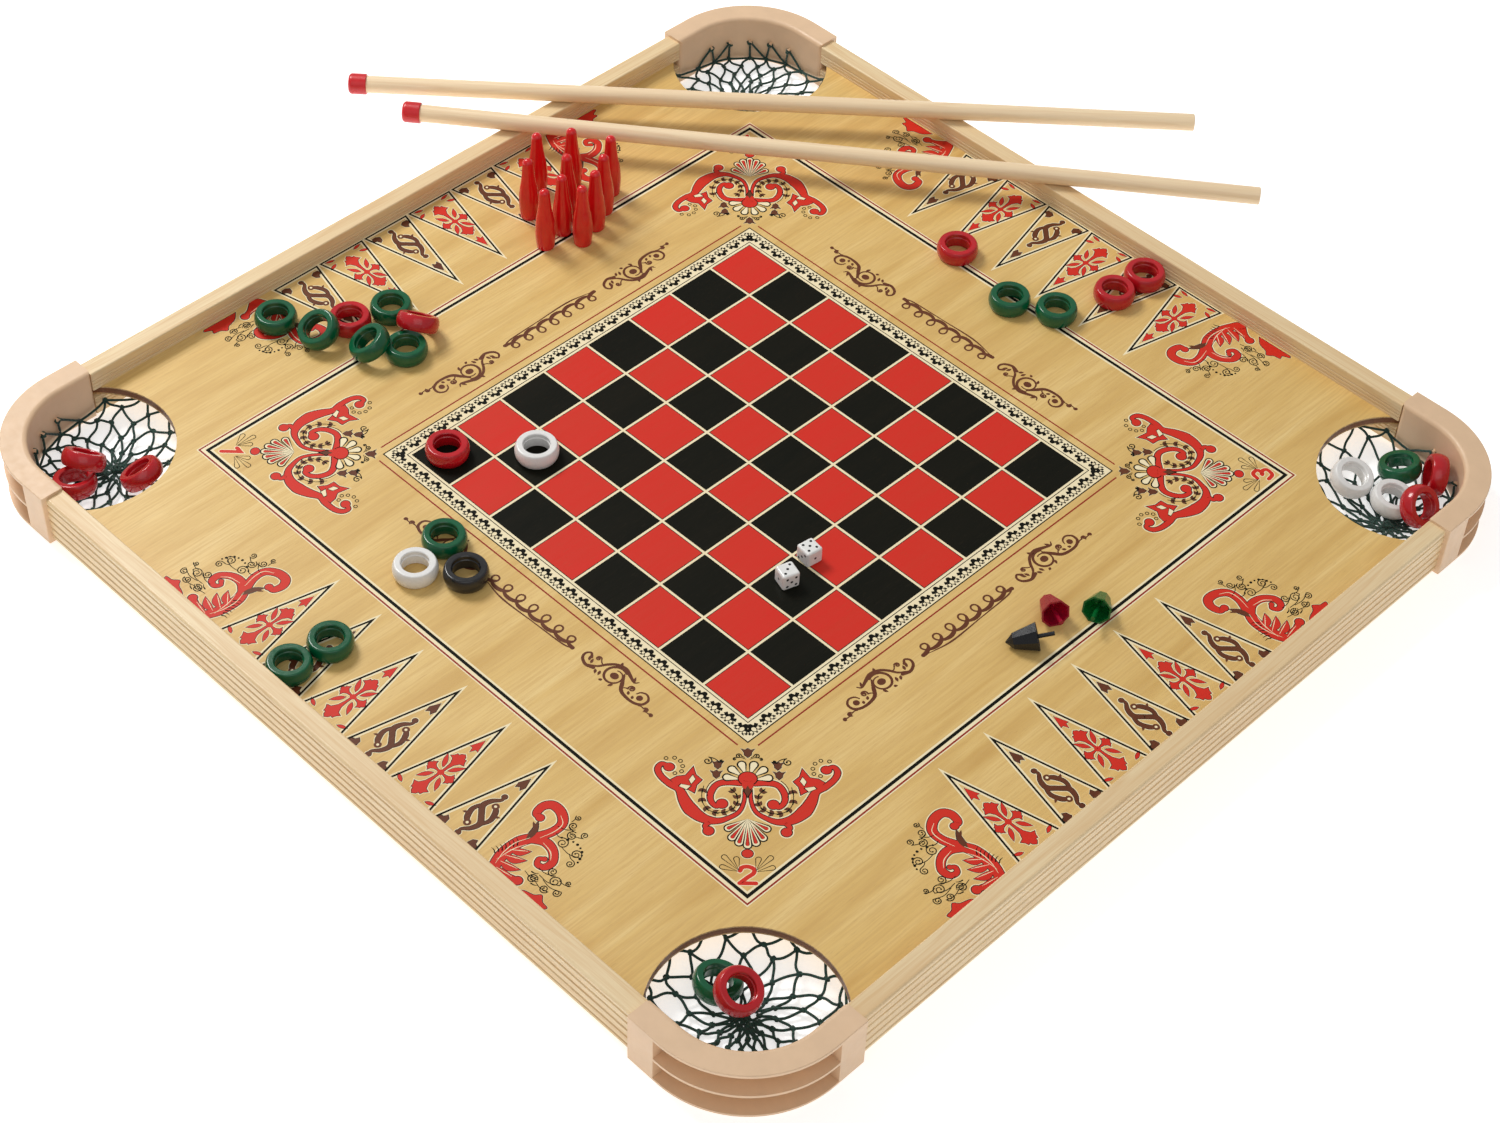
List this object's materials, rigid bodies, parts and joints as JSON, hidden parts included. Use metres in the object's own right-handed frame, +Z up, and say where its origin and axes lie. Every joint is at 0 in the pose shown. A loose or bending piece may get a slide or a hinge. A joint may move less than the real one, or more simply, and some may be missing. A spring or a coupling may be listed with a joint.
{
  "type": "carrom game board",
  "caption": "Two-sided square game board with wooden rails, moulded corner castings, netted corner pockets, and loose rings, cues, pins, dice and tops.",
  "frame": {"origin": "centre of the playing surface, at its top face", "axes": "+Z up, out of the playing surface; +X and +Y parallel to the rails; the near corner is at +X -Y"},
  "size_m": [0.8194, 0.8261, 0.0727],
  "materials": {
    "panel_plywood": "satin varnished birch-faced plywood, printed",
    "rail_pine": "satin varnished pine, grain along the rail",
    "casting_plastic": "beige moulded plastic, soft sheen",
    "net_twine": "knotted dark green twine",
    "fastener_steel": "bright zinc-plated steel",
    "cue_wood": "sanded hardwood dowel",
    "cap_red": "red moulded plastic",
    "pin_red": "red moulded plastic",
    "die_white": "white plastic with dark pips",
    "ring_red": "glossy red moulded plastic",
    "ring_green": "glossy green moulded plastic",
    "ring_white": "glossy white moulded plastic",
    "ring_black": "glossy black moulded plastic",
    "top_black": "dark grey moulded plastic",
    "top_red": "translucent red plastic",
    "top_green": "translucent green plastic"
  },
  "bodies": {
    "board": {"corner_casting_far": "casting_plastic", "corner_casting_left": "casting_plastic", "corner_casting_near": "casting_plastic", "corner_casting_right": "casting_plastic", "corner_screws": "fastener_steel", "net_staples": "fastener_steel", "playing_panel": "panel_plywood", "pocket_net_far": "net_twine", "pocket_net_left": "net_twine", "pocket_net_near": "net_twine", "pocket_net_right": "net_twine", "rail_far_left": "rail_pine", "rail_far_right": "rail_pine", "rail_near_left": "rail_pine", "rail_near_right": "rail_pine"},
    "cue_1": {"cue_cap_1": "cap_red", "cue_shaft_1": "cue_wood"},
    "cue_2": {"cue_cap_2": "cap_red", "cue_shaft_2": "cue_wood"},
    "die_1": {"die_1": "die_white"},
    "die_2": {"die_2": "die_white"},
    "left_pocket_rings": {"left_pocket_red_rings": "ring_red"},
    "near_pocket_green_ring": {"near_pocket_green_ring": "ring_green"},
    "near_pocket_red_ring": {"near_pocket_red_ring": "ring_red"},
    "pin_1": {"pin_1": "pin_red"},
    "pin_10": {"pin_10": "pin_red"},
    "pin_2": {"pin_2": "pin_red"},
    "pin_3": {"pin_3": "pin_red"},
    "pin_4": {"pin_4": "pin_red"},
    "pin_5": {"pin_5": "pin_red"},
    "pin_6": {"pin_6": "pin_red"},
    "pin_7": {"pin_7": "pin_red"},
    "pin_8": {"pin_8": "pin_red"},
    "pin_9": {"pin_9": "pin_red"},
    "right_pocket_rings": {"right_pocket_green_ring": "ring_green", "right_pocket_red_rings": "ring_red", "right_pocket_white_rings": "ring_white"},
    "ring_black_1": {"ring_black_1": "ring_black"},
    "ring_green_1": {"ring_green_1": "ring_green"},
    "ring_green_10": {"ring_green_10": "ring_green"},
    "ring_green_2": {"ring_green_2": "ring_green"},
    "ring_green_3": {"ring_green_3": "ring_green"},
    "ring_green_4": {"ring_green_4": "ring_green"},
    "ring_green_5": {"ring_green_5": "ring_green"},
    "ring_green_6": {"ring_green_6": "ring_green"},
    "ring_green_7": {"ring_green_7": "ring_green"},
    "ring_green_8": {"ring_green_8": "ring_green"},
    "ring_green_9": {"ring_green_9": "ring_green"},
    "ring_red_1": {"ring_red_1": "ring_red"},
    "ring_red_2": {"ring_red_2": "ring_red"},
    "ring_red_3": {"ring_red_3": "ring_red"},
    "ring_red_4": {"ring_red_4": "ring_red"},
    "ring_red_5": {"ring_red_5": "ring_red"},
    "ring_red_6": {"ring_red_6": "ring_red"},
    "ring_white_1": {"ring_white_1": "ring_white"},
    "ring_white_2": {"ring_white_2": "ring_white"},
    "spinning_top_black": {"spinning_top_black": "top_black"},
    "spinning_top_green": {"spinning_top_green": "top_green"},
    "spinning_top_red": {"spinning_top_red": "top_red"}
  },
  "joints": [
    {"name": "lift_cue_1", "type": "slide", "parent": "board", "child": "cue_1", "axis": [0, 0, 1], "range_m": [0, 0.12]},
    {"name": "lift_cue_2", "type": "slide", "parent": "board", "child": "cue_2", "axis": [0, 0, 1], "range_m": [0, 0.12]},
    {"name": "lift_die_1", "type": "slide", "parent": "board", "child": "die_1", "axis": [0, 0, 1], "range_m": [0, 0.12]},
    {"name": "lift_die_2", "type": "slide", "parent": "board", "child": "die_2", "axis": [0, 0, 1], "range_m": [0, 0.12]},
    {"name": "lift_left_pocket_rings", "type": "slide", "parent": "board", "child": "left_pocket_rings", "axis": [0, 0, 1], "range_m": [0, 0.12]},
    {"name": "lift_near_pocket_green_ring", "type": "slide", "parent": "board", "child": "near_pocket_green_ring", "axis": [0, 0, 1], "range_m": [0, 0.12]},
    {"name": "lift_near_pocket_red_ring", "type": "slide", "parent": "near_pocket_green_ring", "child": "near_pocket_red_ring", "axis": [0, 0, 1], "range_m": [0, 0.12]},
    {"name": "lift_pin_1", "type": "slide", "parent": "board", "child": "pin_1", "axis": [0, 0, 1], "range_m": [0, 0.12]},
    {"name": "lift_pin_10", "type": "slide", "parent": "board", "child": "pin_10", "axis": [0, 0, 1], "range_m": [0, 0.12]},
    {"name": "lift_pin_2", "type": "slide", "parent": "board", "child": "pin_2", "axis": [0, 0, 1], "range_m": [0, 0.12]},
    {"name": "lift_pin_3", "type": "slide", "parent": "board", "child": "pin_3", "axis": [0, 0, 1], "range_m": [0, 0.12]},
    {"name": "lift_pin_4", "type": "slide", "parent": "board", "child": "pin_4", "axis": [0, 0, 1], "range_m": [0, 0.12]},
    {"name": "lift_pin_5", "type": "slide", "parent": "board", "child": "pin_5", "axis": [0, 0, 1], "range_m": [0, 0.12]},
    {"name": "lift_pin_6", "type": "slide", "parent": "board", "child": "pin_6", "axis": [0, 0, 1], "range_m": [0, 0.12]},
    {"name": "lift_pin_7", "type": "slide", "parent": "board", "child": "pin_7", "axis": [0, 0, 1], "range_m": [0, 0.12]},
    {"name": "lift_pin_8", "type": "slide", "parent": "board", "child": "pin_8", "axis": [0, 0, 1], "range_m": [0, 0.12]},
    {"name": "lift_pin_9", "type": "slide", "parent": "board", "child": "pin_9", "axis": [0, 0, 1], "range_m": [0, 0.12]},
    {"name": "lift_right_pocket_rings", "type": "slide", "parent": "board", "child": "right_pocket_rings", "axis": [0, 0, 1], "range_m": [0, 0.12]},
    {"name": "lift_ring_black_1", "type": "slide", "parent": "board", "child": "ring_black_1", "axis": [0, 0, 1], "range_m": [0, 0.12]},
    {"name": "lift_ring_green_1", "type": "slide", "parent": "board", "child": "ring_green_1", "axis": [0, 0, 1], "range_m": [0, 0.12]},
    {"name": "lift_ring_green_10", "type": "slide", "parent": "board", "child": "ring_green_10", "axis": [0, 0, 1], "range_m": [0, 0.12]},
    {"name": "lift_ring_green_2", "type": "slide", "parent": "ring_red_1", "child": "ring_green_2", "axis": [0, 0, 1], "range_m": [0, 0.12]},
    {"name": "lift_ring_green_3", "type": "slide", "parent": "board", "child": "ring_green_3", "axis": [0, 0, 1], "range_m": [0, 0.12]},
    {"name": "lift_ring_green_4", "type": "slide", "parent": "board", "child": "ring_green_4", "axis": [0, 0, 1], "range_m": [0, 0.12]},
    {"name": "lift_ring_green_5", "type": "slide", "parent": "ring_green_4", "child": "ring_green_5", "axis": [0, 0, 1], "range_m": [0, 0.12]},
    {"name": "lift_ring_green_6", "type": "slide", "parent": "board", "child": "ring_green_6", "axis": [0, 0, 1], "range_m": [0, 0.12]},
    {"name": "lift_ring_green_7", "type": "slide", "parent": "board", "child": "ring_green_7", "axis": [0, 0, 1], "range_m": [0, 0.12]},
    {"name": "lift_ring_green_8", "type": "slide", "parent": "board", "child": "ring_green_8", "axis": [0, 0, 1], "range_m": [0, 0.12]},
    {"name": "lift_ring_green_9", "type": "slide", "parent": "board", "child": "ring_green_9", "axis": [0, 0, 1], "range_m": [0, 0.12]},
    {"name": "lift_ring_red_1", "type": "slide", "parent": "board", "child": "ring_red_1", "axis": [0, 0, 1], "range_m": [0, 0.12]},
    {"name": "lift_ring_red_2", "type": "slide", "parent": "ring_green_4", "child": "ring_red_2", "axis": [0, 0, 1], "range_m": [0, 0.12]},
    {"name": "lift_ring_red_3", "type": "slide", "parent": "board", "child": "ring_red_3", "axis": [0, 0, 1], "range_m": [0, 0.12]},
    {"name": "lift_ring_red_4", "type": "slide", "parent": "board", "child": "ring_red_4", "axis": [0, 0, 1], "range_m": [0, 0.12]},
    {"name": "lift_ring_red_5", "type": "slide", "parent": "board", "child": "ring_red_5", "axis": [0, 0, 1], "range_m": [0, 0.12]},
    {"name": "lift_ring_red_6", "type": "slide", "parent": "board", "child": "ring_red_6", "axis": [0, 0, 1], "range_m": [0, 0.12]},
    {"name": "lift_ring_white_1", "type": "slide", "parent": "board", "child": "ring_white_1", "axis": [0, 0, 1], "range_m": [0, 0.12]},
    {"name": "lift_ring_white_2", "type": "slide", "parent": "board", "child": "ring_white_2", "axis": [0, 0, 1], "range_m": [0, 0.12]},
    {"name": "lift_spinning_top_black", "type": "slide", "parent": "board", "child": "spinning_top_black", "axis": [0, 0, 1], "range_m": [0, 0.12]},
    {"name": "lift_spinning_top_green", "type": "slide", "parent": "board", "child": "spinning_top_green", "axis": [0, 0, 1], "range_m": [0, 0.12]},
    {"name": "lift_spinning_top_red", "type": "slide", "parent": "board", "child": "spinning_top_red", "axis": [0, 0, 1], "range_m": [0, 0.12]}
  ]
}
